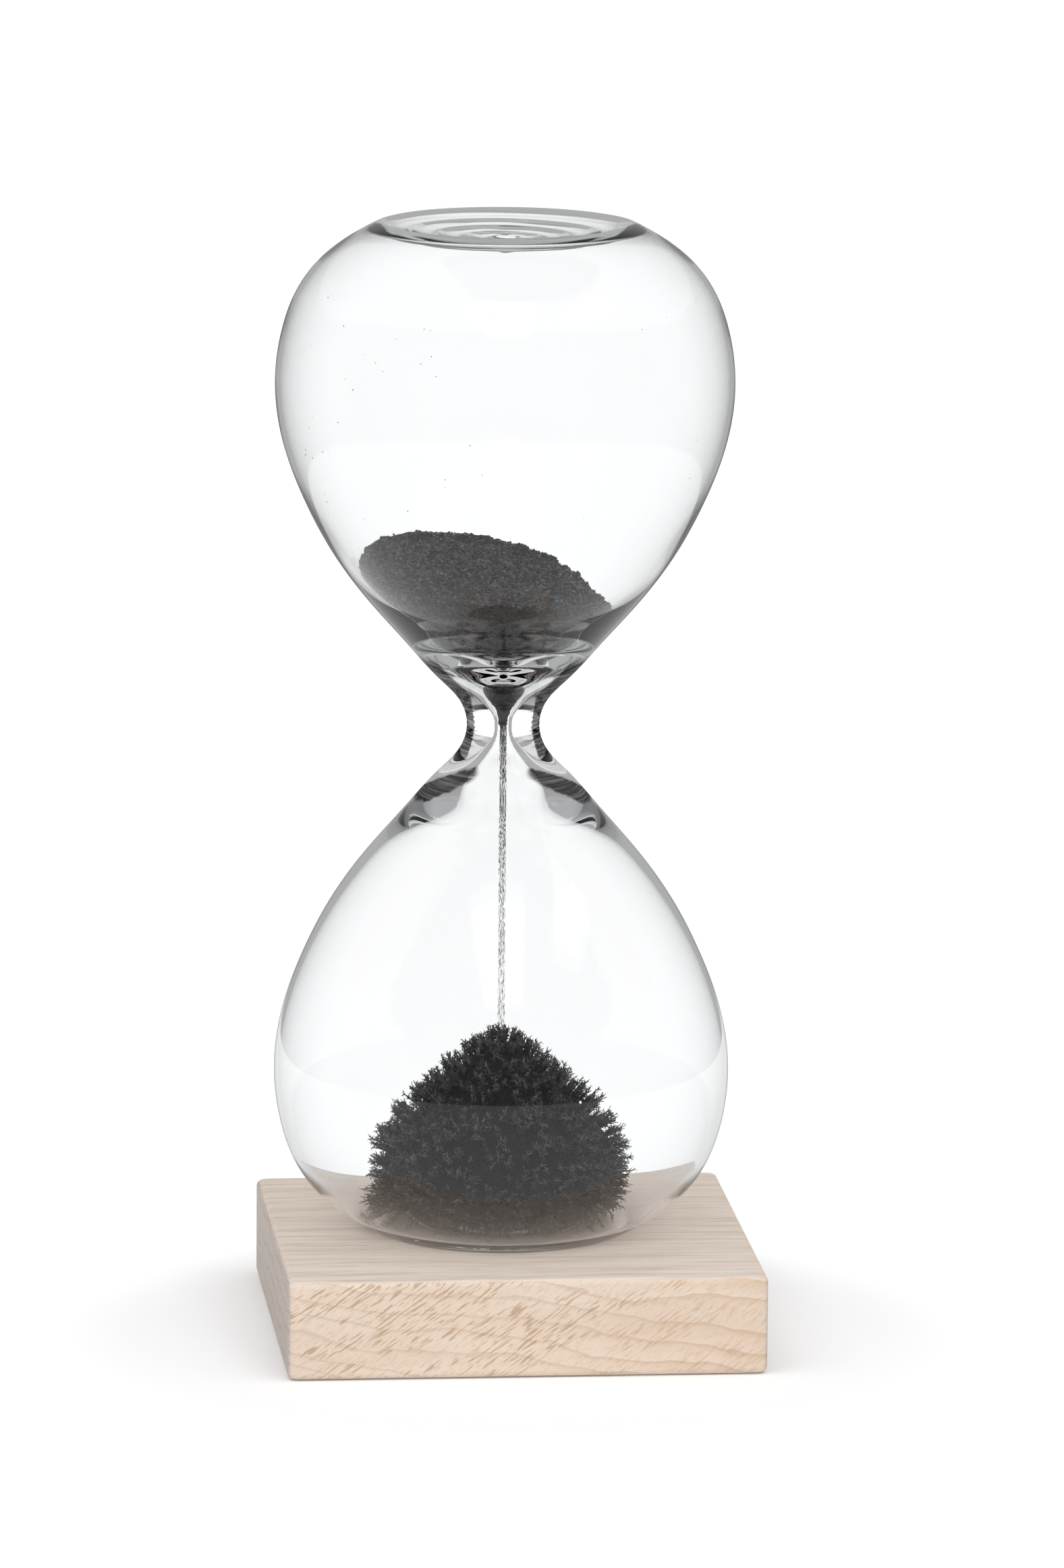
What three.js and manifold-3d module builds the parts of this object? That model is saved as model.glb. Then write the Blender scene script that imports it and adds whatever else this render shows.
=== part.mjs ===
// Magnetic hourglass: a blown glass vessel with iron powder inside, standing loose on a square beech
// block that hides a disc magnet. The magnet draws the fallen powder up into a spiky pile.
// Millimetres, +Z up, front towards -Y. The origin is the middle of the block's underside.

import * as THREE from 'three';
import { mergeVertices } from 'three/addons/utils/BufferGeometryUtils.js';
import Module from 'manifold-3d';

const wasm = await Module();
wasm.setup();

// ---------- driving dimensions ----------
const BLOCK_SIDE = 63;
const BLOCK_HEIGHT = 13.1;
const BLOCK_CHAMFER = 0.8;

const MAGNET_RADIUS = 12.5;
const MAGNET_HEIGHT = 5;
const MAGNET_CHAMFER = 0.4;
const COVER_HEIGHT = 2.6;
const COVER_RECESS = 0.3;
const FIT_GAP = 0.3;

const GLASS_X = -1;
const GLASS_Y = 0.2;
const REST_GAP = 0.05;
const BULB_LENGTH = 68;
const UPPER_STRETCH = 0.982;
const FILL_HOLE_RADIUS = 1.6;

const ORIFICE_RADIUS = 0.75;
const STREAM_RADIUS = 0.4;
const HEAP_BOTTOM = 3;
const HEAP_MEAN_LEVEL = 19.1;
const HEAP_TILT = [-2.7, 1];
const HEAP_BEND = [-1.2, -0.7];
const CRATER_LEVEL = 15;
const PILE_HEIGHT = 23;

const ROUND_STEPS = 32;
const OUTER_STEPS = 22;
const INNER_STEPS = 25;

// ---------- profile of one bulb, as [distance from the neck, radius] ----------
const OUTER_WALL = [
  [0, 4.8], [3, 5.6], [6.5, 8.7], [11, 12.7], [17, 17.9], [24, 22.9], [31, 26.5], [38.5, 29.2],
  [46.5, 30.25], [53, 29.5], [58.5, 27.6], [62.5, 24.8], [65.5, 21.2], [67.4, 18], [68, 16.4],
];
const OUTER_DISH = [[67.5, 14.6], [66.8, 11], [66.3, 6.5], [66.1, 3.5]];
// The two bulbs differ inside only at the neck: the upper one closes late and narrowly.
const UPPER_FUNNEL = [
  [0, ORIFICE_RADIUS], [1.8, 0.85], [3.5, 1.35], [5.2, 2.1], [7, 3.1], [8.5, 4.8], [9.5, 7.2], [10.8, 9.6],
];
const LOWER_FUNNEL = [[0, ORIFICE_RADIUS], [1.8, 0.95], [3.8, 1.8], [6, 3.1], [8.5, 5.3], [11, 8.9]];
const INNER_BULB = [
  [14, 13.2], [17.5, 16.8], [24, 21.8], [31, 25.7], [38.5, 28.5], [46.5, 29.6], [53, 28.85], [58.5, 26.95],
  [62.3, 24.1], [65, 20.9], [66.6, 18], [67, 16.4],
];
const INNER_DISH = [[66.5, 14.4], [65.7, 11], [65.2, 6.5], [64.8, 3.5]];
const OUTER_DISH_CENTRE = 66;
const INNER_DISH_CENTRE = 64.6;

// ---------- helpers ----------
// A smooth curve through profile points, as [distance from the neck, radius] pairs.
function smooth(points, steps) {
  const curve = new THREE.SplineCurve(points.map(([s, r]) => new THREE.Vector2(s, r)));
  return curve.getPoints(steps).map((p) => [p.x, p.y]);
}

const upperInnerWall = smooth([...UPPER_FUNNEL, ...INNER_BULB], INNER_STEPS);
const lowerInnerWall = smooth([...LOWER_FUNNEL, ...INNER_BULB], INNER_STEPS);

// Radius of the upper bulb's inside at a distance from the neck.
function innerRadius(distance) {
  const i = upperInnerWall.findIndex(([s]) => s >= distance);
  if (i <= 0) return ORIFICE_RADIUS;
  const [s0, r0] = upperInnerWall[i - 1];
  const [s1, r1] = upperInnerWall[i];
  return r0 + ((r1 - r0) * (distance - s0)) / (s1 - s0);
}

// Body of revolution about +Z from [radius, height] points that start and end on the axis.
function turned(profile) {
  const geometry = new THREE.LatheGeometry(profile.map(([r, z]) => new THREE.Vector2(r, z)), ROUND_STEPS);
  return geometry.rotateX(Math.PI / 2);
}

// Body about +Z whose profile changes with the angle. Every profile starts and ends on the axis,
// at heights that don't depend on the angle, and has the same number of points.
function turnedFreely(profileAt) {
  const rings = [];
  for (let i = 0; i < ROUND_STEPS; i += 1) rings.push(profileAt((2 * Math.PI * i) / ROUND_STEPS));
  const inner = rings[0].length - 2;
  const positions = [0, 0, rings[0][0][1]];
  rings.forEach((ring, i) => {
    const angle = (2 * Math.PI * i) / ROUND_STEPS;
    for (const [r, z] of ring.slice(1, -1)) positions.push(r * Math.cos(angle), r * Math.sin(angle), z);
  });
  positions.push(0, 0, rings[0][inner + 1][1]);
  const top = positions.length / 3 - 1;
  const at = (i, k) => 1 + (i % ROUND_STEPS) * inner + k;
  const faces = [];
  for (let i = 0; i < ROUND_STEPS; i += 1) {
    faces.push(0, at(i + 1, 0), at(i, 0));
    for (let k = 0; k < inner - 1; k += 1) {
      faces.push(at(i, k), at(i + 1, k), at(i + 1, k + 1));
      faces.push(at(i, k), at(i + 1, k + 1), at(i, k + 1));
    }
    faces.push(at(i, inner - 1), at(i + 1, inner - 1), top);
  }
  const geometry = new THREE.BufferGeometry();
  geometry.setAttribute('position', new THREE.Float32BufferAttribute(positions, 3));
  geometry.setIndex(faces);
  return geometry;
}

function toSolid(geometry) {
  const plain = geometry.clone();
  plain.deleteAttribute('normal');
  plain.deleteAttribute('uv');
  const merged = mergeVertices(plain, 1e-4);
  return new wasm.Manifold(new wasm.Mesh({
    numProp: 3,
    vertProperties: new Float32Array(merged.attributes.position.array),
    triVerts: new Uint32Array(merged.index.array),
  }));
}

function toGeometry(solid) {
  const mesh = solid.getMesh();
  const geometry = new THREE.BufferGeometry();
  geometry.setAttribute('position', new THREE.BufferAttribute(mesh.vertProperties, 3));
  geometry.setIndex(new THREE.BufferAttribute(mesh.triVerts, 1));
  return geometry;
}

// Disc with chamfered edges, standing on the plane z = 0.
function disc(radius, height, chamfer) {
  return turned([
    [0, 0], [radius - chamfer, 0], [radius, chamfer], [radius, height - chamfer],
    [radius - chamfer, height], [0, height],
  ]);
}

const hourglass = new THREE.Group();
const glassAssembly = new THREE.Group();
const NECK_HEIGHT = BLOCK_HEIGHT + REST_GAP + BULB_LENGTH;
glassAssembly.position.set(GLASS_X, GLASS_Y, NECK_HEIGHT);
hourglass.add(glassAssembly);

function addPart(group, name, geometry, color, roughness, metalness, height = 0) {
  const mesh = new THREE.Mesh(geometry, new THREE.MeshStandardMaterial({ color, roughness, metalness }));
  mesh.name = name;
  mesh.position.z = height;
  group.add(mesh);
  return mesh;
}

// ---------- beech block, with a blind pocket bored from its underside ----------
const POCKET_DEPTH = COVER_RECESS + COVER_HEIGHT + MAGNET_HEIGHT + 2 * FIT_GAP;
const POCKET_RADIUS = MAGNET_RADIUS + FIT_GAP;

function blockGeometry() {
  const side = BLOCK_SIDE / 2 - BLOCK_CHAMFER;
  const corner = side - BLOCK_CHAMFER;
  const outline = new THREE.Shape([
    [side, -corner], [side, corner], [corner, side], [-corner, side],
    [-side, corner], [-side, -corner], [-corner, -side], [corner, -side],
  ].map(([x, y]) => new THREE.Vector2(x, y)));
  const block = new THREE.ExtrudeGeometry(outline, {
    depth: BLOCK_HEIGHT - 2 * BLOCK_CHAMFER,
    bevelEnabled: true,
    bevelThickness: BLOCK_CHAMFER,
    bevelSize: BLOCK_CHAMFER,
    bevelSegments: 1,
  });
  block.translate(0, 0, BLOCK_CHAMFER);
  const cutter = new THREE.CylinderGeometry(POCKET_RADIUS, POCKET_RADIUS, 2 * POCKET_DEPTH, ROUND_STEPS);
  cutter.rotateX(Math.PI / 2);
  return toGeometry(toSolid(block).subtract(toSolid(cutter)));
}
addPart(hourglass, 'base_block', blockGeometry(), 0xd9bf9c, 0.62, 0);

// ---------- disc magnet in the pocket, and the plug that closes it ----------
const magnetZ = COVER_RECESS + COVER_HEIGHT + FIT_GAP;
const magnetDisc = disc(MAGNET_RADIUS, MAGNET_HEIGHT, MAGNET_CHAMFER);
addPart(hourglass, 'magnet', magnetDisc, 0x8f9194, 0.3, 1, magnetZ);
const coverDisc = disc(MAGNET_RADIUS, COVER_HEIGHT, MAGNET_CHAMFER);
addPart(hourglass, 'magnet_cover', coverDisc, 0xcfb48f, 0.7, 0, COVER_RECESS);

// ---------- blown glass vessel: two bulbs, a thick neck and dished ends ----------
const upper = ([s, r]) => [r, s * UPPER_STRETCH];
const lower = ([s, r]) => [r, -s];

function vesselGeometry() {
  const outerWall = smooth(OUTER_WALL, OUTER_STEPS);
  const holeOuter = upper([OUTER_DISH_CENTRE, FILL_HOLE_RADIUS]);
  const holeInner = upper([INNER_DISH_CENTRE, FILL_HOLE_RADIUS]);
  return turned([
    [0, -OUTER_DISH_CENTRE],
    ...OUTER_DISH.toReversed().map(lower),
    ...outerWall.toReversed().map(lower),
    ...outerWall.slice(1).map(upper),
    ...OUTER_DISH.map(upper),
    holeOuter,
    holeInner,
    ...INNER_DISH.toReversed().map(upper),
    ...upperInnerWall.toReversed().map(upper),
    ...lowerInnerWall.slice(1).map(lower),
    ...INNER_DISH.map(lower),
    [0, -INNER_DISH_CENTRE],
  ]);
}
addPart(glassAssembly, 'glass_vessel', vesselGeometry(), 0xf4f7f8, 0.03, 0);

// ---------- drop of glass that seals the filling hole in the upper end ----------
function sealGeometry() {
  const radius = FILL_HOLE_RADIUS - FIT_GAP;
  const [, low] = upper([INNER_DISH_CENTRE, 0]);
  const [, high] = upper([OUTER_DISH_CENTRE, 0]);
  return turned([
    [0, low - 0.7], [0.7 * radius, low - 0.4], [radius, low + 0.2],
    [radius, high - 0.2], [0.7 * radius, high + 0.3], [0, high + 0.45],
  ]);
}
addPart(glassAssembly, 'fill_seal', sealGeometry(), 0xeef2f4, 0.05, 0);

// ---------- iron powder left in the upper bulb: fills the funnel, tilted, with a crater ----------
const FUNNEL_TOP = 14;
const WALL_STEPS = 2;
const SURFACE_STEPS = 6;

// The rim is highest at the back left and lowest on the right.
function heapRim(angle) {
  const tilt = HEAP_TILT[0] * Math.cos(angle) + HEAP_TILT[1] * Math.sin(angle);
  const bend = HEAP_BEND[0] * Math.cos(2 * angle) + HEAP_BEND[1] * Math.sin(2 * angle);
  return HEAP_MEAN_LEVEL + tilt + bend;
}

function heapProfile(angle) {
  const rimLevel = heapRim(angle);
  const profile = [[0, HEAP_BOTTOM], [innerRadius(HEAP_BOTTOM) - FIT_GAP, HEAP_BOTTOM]];
  const funnel = upperInnerWall.filter(([s]) => s > HEAP_BOTTOM && s < FUNNEL_TOP);
  funnel.forEach(([s, r]) => profile.push([r - FIT_GAP, s]));
  const [funnelEnd] = funnel[funnel.length - 1];
  for (let k = 1; k <= WALL_STEPS; k += 1) {
    const s = funnelEnd + ((rimLevel - funnelEnd) * k) / WALL_STEPS;
    profile.push([innerRadius(s) - FIT_GAP, s]);
  }
  const rimRadius = innerRadius(rimLevel) - FIT_GAP;
  for (let k = 1; k <= SURFACE_STEPS; k += 1) {
    const inwards = k / SURFACE_STEPS;
    const outwards = 1 - inwards;
    const level = CRATER_LEVEL + (rimLevel - CRATER_LEVEL) * outwards ** 1.4;
    profile.push([rimRadius * outwards, level]);
  }
  return profile.map(([r, s]) => [r, s * UPPER_STRETCH]);
}
addPart(glassAssembly, 'powder_upper', turnedFreely(heapProfile), 0x48484b, 0.85, 0.35);

// ---------- powder drawn up by the magnet in the lower bulb: a lumpy dome ----------
const PILE_FLOOR = -INNER_DISH_CENTRE + FIT_GAP;
const PILE_SIDE = [
  [6, 0], [11, -0.5], [13.6, -1], [15.4, 0.6], [16.2, 4], [16.4, 7], [15.4, 10], [13.4, 12.8],
  [11, 15.4], [8.2, 18], [4.6, 21], [2, 22.4],
];

function pileProfile(angle) {
  const lump = 1 + 0.02 * Math.sin(5 * angle + 0.6) + 0.015 * Math.sin(9 * angle);
  const side = PILE_SIDE.map(([r, z]) => [r * lump, PILE_FLOOR + z]);
  return [[0, PILE_FLOOR], ...side, [0, PILE_FLOOR + PILE_HEIGHT]];
}
addPart(glassAssembly, 'powder_lower', turnedFreely(pileProfile), 0x2b2b2d, 0.8, 0.4);

// ---------- thread of powder falling through the neck onto the pile ----------
function streamGeometry() {
  const low = PILE_FLOOR + PILE_HEIGHT + FIT_GAP;
  const high = HEAP_BOTTOM * UPPER_STRETCH - FIT_GAP;
  const thread = new THREE.CylinderGeometry(STREAM_RADIUS, STREAM_RADIUS, high - low, 12);
  return thread.rotateX(Math.PI / 2).translate(0, 0, (high + low) / 2);
}
addPart(glassAssembly, 'powder_stream', streamGeometry(), 0x5a5a5e, 0.85, 0.3);

export default hourglass;
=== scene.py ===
"""Magnetic hourglass: blown glass, iron powder and a beech block that hides a magnet.

Everything is in metres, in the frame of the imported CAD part. The profiles below are the part's own, with
a thinner upper end, in units that are scaled to the frame. Every piece is placed from the boxes of the
CAD nodes.
"""

import math

import bpy
import numpy as np
from mathutils import Matrix, Vector, noise


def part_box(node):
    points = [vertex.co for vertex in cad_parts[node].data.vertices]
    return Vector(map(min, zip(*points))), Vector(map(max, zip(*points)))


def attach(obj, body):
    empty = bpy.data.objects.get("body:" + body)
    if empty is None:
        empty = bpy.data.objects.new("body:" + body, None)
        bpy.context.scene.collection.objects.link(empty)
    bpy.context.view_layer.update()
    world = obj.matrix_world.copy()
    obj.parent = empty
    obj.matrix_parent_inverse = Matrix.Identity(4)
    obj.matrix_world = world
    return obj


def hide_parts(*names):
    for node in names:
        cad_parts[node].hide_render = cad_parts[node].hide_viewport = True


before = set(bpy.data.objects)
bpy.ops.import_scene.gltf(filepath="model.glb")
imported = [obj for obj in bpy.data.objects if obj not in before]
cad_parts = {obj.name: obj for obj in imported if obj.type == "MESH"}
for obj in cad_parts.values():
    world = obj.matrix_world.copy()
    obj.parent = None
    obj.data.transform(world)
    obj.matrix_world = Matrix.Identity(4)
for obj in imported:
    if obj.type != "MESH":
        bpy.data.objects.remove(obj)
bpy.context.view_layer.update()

# ---------- profile of one bulb, as [distance from the neck, radius] ----------
BULB_LENGTH = 68
UPPER_STRETCH = 0.982
OUTER_WALL = [
    [0, 4.8], [3, 5.6], [6.5, 8.7], [11, 12.7], [17, 17.9], [24, 22.9], [31, 26.5], [38.5, 29.2],
    [46.5, 30.25], [53, 29.5], [58.5, 27.6], [62.5, 24.8], [65.5, 21.2], [67.4, 18], [68, 16.4],
]
OUTER_DISH = [[67.5, 14.6], [66.8, 11], [66.3, 6.5], [66.1, 3.5], [66, 0]]
# Inside, the two bulbs differ at the neck, where the upper one closes late and narrowly.
UPPER_FUNNEL = [
    [0, 0.75], [1.8, 0.85], [3.5, 1.35], [5.2, 2.1], [7, 3.1], [8.5, 4.8], [9.5, 7.2], [10.8, 9.6],
]
LOWER_FUNNEL = [[0, 0.75], [1.8, 0.95], [3.8, 1.8], [6, 3.1], [8.5, 5.3], [11, 8.9]]
INNER_BULB = [
    [14, 13.2], [17.5, 16.8], [24, 21.8], [31, 25.7], [38.5, 28.5], [46.5, 29.6], [53, 28.85], [58.5, 26.95],
    [62.3, 24.1],
]
# They also differ at the end: the upper bulb was sealed last, and its end is blown thinner.
UPPER_SHOULDER = [[65.05, 21], [66.8, 18.05], [67.3, 16.4]]
UPPER_INNER_DISH = [[66.8, 14.5], [65.95, 11], [65.45, 6.5], [65.1, 3.5], [64.95, 0]]
LOWER_SHOULDER = [[65, 20.9], [66.6, 18], [67, 16.4]]
LOWER_INNER_DISH = [[66.5, 14.4], [65.7, 11], [65.2, 6.5], [64.8, 3.5], [64.6, 0]]
FILL_HOLE_RADIUS = 1.6

# ---------- powder, in the same units ----------
HEAP_MEAN_LEVEL = 19.1
HEAP_TILT = (-2.7, 1)
HEAP_BEND = (-1.2, -0.7)
CRATER_LEVEL = 15.4
CRATER_X = 4.6
STREAM_RADIUS = 0.4
PILE_FLOOR = -64.3
PILE_HEIGHT = 23
PILE_SIDE = [
    [6, 0], [11, -0.5], [13.6, -1], [15.4, 0.6], [16.2, 4], [16.4, 7], [15.4, 10], [13.4, 12.8],
    [11, 15.4], [8.2, 18], [4.6, 21], [2, 22.4],
]

# ---------- sizes and places from the frame ----------
vessel_low, vessel_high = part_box("glass_vessel")
MM = (vessel_high.z - vessel_low.z) / (BULB_LENGTH * (1 + UPPER_STRETCH))
AXIS = Vector(((vessel_low.x + vessel_high.x) / 2, (vessel_low.y + vessel_high.y) / 2, 0))
NECK = AXIS + Vector((0, 0, vessel_low.z + BULB_LENGTH * MM))
block_low, block_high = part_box("base_block")
magnet_low, magnet_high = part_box("magnet")
cover_low, cover_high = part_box("magnet_cover")

rng = np.random.default_rng(7)
scene = bpy.context.scene


# ---------- curves ----------
def natural_spline(knots, values, at):
    """Values at the parameters `at` of the natural cubic spline through the knots."""
    n = len(knots)
    h = np.diff(knots)
    matrix = np.eye(n)
    right = np.zeros((n, values.shape[1]))
    for i in range(1, n - 1):
        matrix[i, i - 1:i + 2] = h[i - 1], 2 * (h[i - 1] + h[i]), h[i]
        right[i] = 6 * ((values[i + 1] - values[i]) / h[i] - (values[i] - values[i - 1]) / h[i - 1])
    bend = np.linalg.solve(matrix, right)
    i = np.clip(np.searchsorted(knots, at, side="right") - 1, 0, n - 2)
    a = (knots[i + 1] - at)[:, None]
    b = (at - knots[i])[:, None]
    width = h[i][:, None]
    return (
        (bend[i] * a ** 3 + bend[i + 1] * b ** 3) / (6 * width)
        + (values[i] / width - bend[i] * width / 6) * a
        + (values[i + 1] / width - bend[i + 1] * width / 6) * b
    )


def bulb_curve(wall, dish):
    """Smooth half section of one bulb from the neck to the axis, as [distance, radius] rows."""
    neck_mirror = [[-s, r] for s, r in wall[3:0:-1]]
    axis_mirror = [[s, -r] for s, r in dish[-2:-4:-1]]
    points = np.array(neck_mirror + wall + dish + axis_mirror, float)
    knots = np.concatenate([[0], np.cumsum(np.linalg.norm(np.diff(points, axis=0), axis=1))])
    start = knots[len(neck_mirror)]
    end = knots[-1 - len(axis_mirror)]
    at = [start]
    while at[-1] < end - 0.3:
        from_neck = at[-1] - start
        at.append(at[-1] + min(0.85, 0.16 + 0.05 * from_neck))
    at[-1] = end
    curve = natural_spline(knots, points, np.array(at))
    curve[0, 0] = 0
    curve[-1, 1] = 0
    return curve


outer_curve = bulb_curve(OUTER_WALL, OUTER_DISH)
upper_inner_curve = bulb_curve(UPPER_FUNNEL + INNER_BULB + UPPER_SHOULDER, UPPER_INNER_DISH)
lower_inner_curve = bulb_curve(LOWER_FUNNEL + INNER_BULB + LOWER_SHOULDER, LOWER_INNER_DISH)


def inner_radius(distance):
    """Radius of the upper bulb's inside at a distance from the neck."""
    wall = upper_inner_curve[:np.argmax(upper_inner_curve[:, 0])]
    return np.interp(distance, wall[:, 0], wall[:, 1])


def inner_end(radius):
    """Distance from the neck to the inside of the lower bulb's closed end, at a radius."""
    closed = lower_inner_curve[np.argmax(lower_inner_curve[:, 1]):]
    return np.interp(-radius, -closed[:, 1], closed[:, 0])


# ---------- meshes ----------
def add_piece(name, points, faces, material, body, stands_for=None, smooth=True):
    """A mesh object from points in metres, which rides on a body."""
    mesh = bpy.data.meshes.new(name)
    mesh.from_pydata(np.asarray(points).tolist(), [], faces)
    mesh.polygons.foreach_set("use_smooth", [smooth] * len(mesh.polygons))
    mesh.materials.append(material)
    mesh.update()
    piece = bpy.data.objects.new(name, mesh)
    scene.collection.objects.link(piece)
    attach(piece, body)
    if stands_for:
        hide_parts(stands_for)
    return piece


def wrap_faces(segments, rings):
    """Faces of a closed skin: two poles first, then `segments` meridians of `rings` points."""
    i, k = np.meshgrid(np.arange(segments), np.arange(rings - 1), indexing="ij")
    j = (i + 1) % segments
    quads = np.stack([2 + i * rings + k, 2 + j * rings + k, 2 + j * rings + k + 1, 2 + i * rings + k + 1], -1)
    faces = quads.reshape(-1, 4).tolist()
    for i in range(segments):
        j = (i + 1) % segments
        faces.append([0, 2 + j * rings, 2 + i * rings])
        faces.append([1, 2 + i * rings + rings - 1, 2 + j * rings + rings - 1])
    return faces


def revolved(profile, segments, change=None):
    """Points and faces about the glass axis, from [radius, height] rows that start and end at radius 0.
    change(angle, radius, height) gives new radii and heights."""
    angle = 2 * np.pi * np.arange(segments)[:, None] / segments
    radius = np.repeat(profile[None, 1:-1, 0], segments, 0)
    height = np.repeat(profile[None, 1:-1, 1], segments, 0)
    if change:
        radius, height = change(angle, radius, height)
    ring = np.stack([radius * np.cos(angle), radius * np.sin(angle), height], -1)
    poles = np.array([[0, 0, profile[0, 1]], [0, 0, profile[-1, 1]]])
    return np.concatenate([poles, ring.reshape(-1, 3)]), wrap_faces(segments, len(profile) - 2)


def at_neck(points):
    """Points in profile units about the neck, in metres in the frame."""
    return np.asarray(points) * MM + np.array(NECK)


def noise_at(points, scale, seed=0.0):
    """Perlin noise, about -1 to 1, at each point."""
    shift = Vector((seed * 13.7, seed * 7.3, seed * 3.1))
    return np.array([noise.noise(Vector(p) * scale + shift) for p in points])


# ---------- material helpers ----------
def link_or_set(tree, socket, value):
    if isinstance(value, bpy.types.NodeSocket):
        tree.links.new(value, socket)
    elif isinstance(value, (tuple, list)) and len(value) == 3 and len(socket.default_value) == 4:
        socket.default_value = (*value, 1)
    else:
        socket.default_value = value


def node(tree, kind, inputs=None, **settings):
    """A new shader node with its settings, and its inputs set to values or linked to sockets."""
    made = tree.nodes.new("ShaderNode" + kind)
    for name, value in settings.items():
        setattr(made, name, value)
    for name, value in (inputs or {}).items():
        link_or_set(tree, made.inputs[name], value)
    return made


def math_node(tree, operation, *values, clamp=False):
    return node(tree, "Math", dict(enumerate(values)), operation=operation, use_clamp=clamp).outputs[0]


def blend_colours(tree, factor, a, b, mode="MIX"):
    made = node(tree, "Mix", data_type="RGBA", blend_type=mode)
    link_or_set(tree, made.inputs[0], factor)
    link_or_set(tree, made.inputs[6], a)
    link_or_set(tree, made.inputs[7], b)
    return made.outputs[2]


def stepped(tree, value, low, high, to_low=0.0, to_high=1.0):
    """A smooth step of value between low and high."""
    return node(tree, "MapRange", {"Value": value, "From Min": low, "From Max": high, "To Min": to_low,
                                   "To Max": to_high}, interpolation_type="SMOOTHSTEP").outputs[0]


def noise_node(tree, vector, scale, detail=3.0, roughness=0.5, distortion=0.0):
    return node(tree, "TexNoise", {"Vector": vector, "Scale": scale, "Detail": detail, "Roughness": roughness,
                                   "Distortion": distortion}).outputs[0]


def new_material(name):
    """An empty material's tree, its output, and object coordinates in profile units."""
    material = bpy.data.materials.new(name)
    material.use_nodes = True
    tree = material.node_tree
    tree.nodes.clear()
    output = node(tree, "OutputMaterial")
    place = node(tree, "TexCoord").outputs["Object"]
    units = node(tree, "VectorMath", {0: place, "Scale": 1 / MM}, operation="SCALE").outputs[0]
    return material, tree, output, units


def bumped(tree, height, distance, strength=1.0):
    return node(tree, "Bump", {"Height": height, "Distance": distance, "Strength": strength}).outputs[0]


# ---------- materials ----------
def painted_neck_shade(tree, units, grazing):
    """Painted shade where the thick glass at the neck looks dark: its sides, and a patch on each lower
    shoulder.
    Levels are in profile units above the neck, and limits are on how far the skin turns away from view."""
    outside = node(tree, "Attribute", attribute_name="outside").outputs["Fac"]
    z = node(tree, "SeparateXYZ", {0: units}).outputs["Z"]
    level = math_node(tree, "SUBTRACT", z, NECK.z / MM)
    side_limit = node(tree, "MapRange", {"Value": level, "From Min": 0.0, "From Max": 6.0, "To Min": 0.375,
                                         "To Max": 0.6}).outputs[0]
    past_side = stepped(tree, math_node(tree, "SUBTRACT", grazing, side_limit), 0.0, 0.04)
    side_zone = math_node(tree, "MULTIPLY", stepped(tree, level, 10.5, 8.5), stepped(tree, level, -4.4, -3.6))
    side = math_node(tree, "MULTIPLY", past_side, side_zone)
    wobble = math_node(tree, "SUBTRACT", noise_node(tree, units, 0.5, 3.0), 0.5)
    ragged = math_node(tree, "ADD", level, math_node(tree, "MULTIPLY", wobble, 1.2))
    drop = math_node(tree, "ADD", ragged, 5.2)
    square = math_node(tree, "MULTIPLY", drop, drop)
    low_limit = math_node(tree, "ADD", 0.23, math_node(tree, "MULTIPLY", square, 0.016))
    past_low = stepped(tree, math_node(tree, "SUBTRACT", grazing, low_limit), 0.0, 0.05)
    low_top = math_node(tree, "SUBTRACT", -3.2, math_node(tree, "MULTIPLY", grazing, 5.5))
    below_top = stepped(tree, math_node(tree, "SUBTRACT", low_top, ragged), -0.1, 0.3)
    low_zone = math_node(tree, "MULTIPLY", below_top, stepped(tree, ragged, -10.2, -9.4))
    entering = math_node(tree, "SUBTRACT", 1.0, node(tree, "NewGeometry").outputs["Backfacing"])
    low = math_node(tree, "MULTIPLY", math_node(tree, "MULTIPLY", past_low, low_zone), entering)
    return math_node(tree, "MULTIPLY", math_node(tree, "MAXIMUM", side, low), outside)


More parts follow.
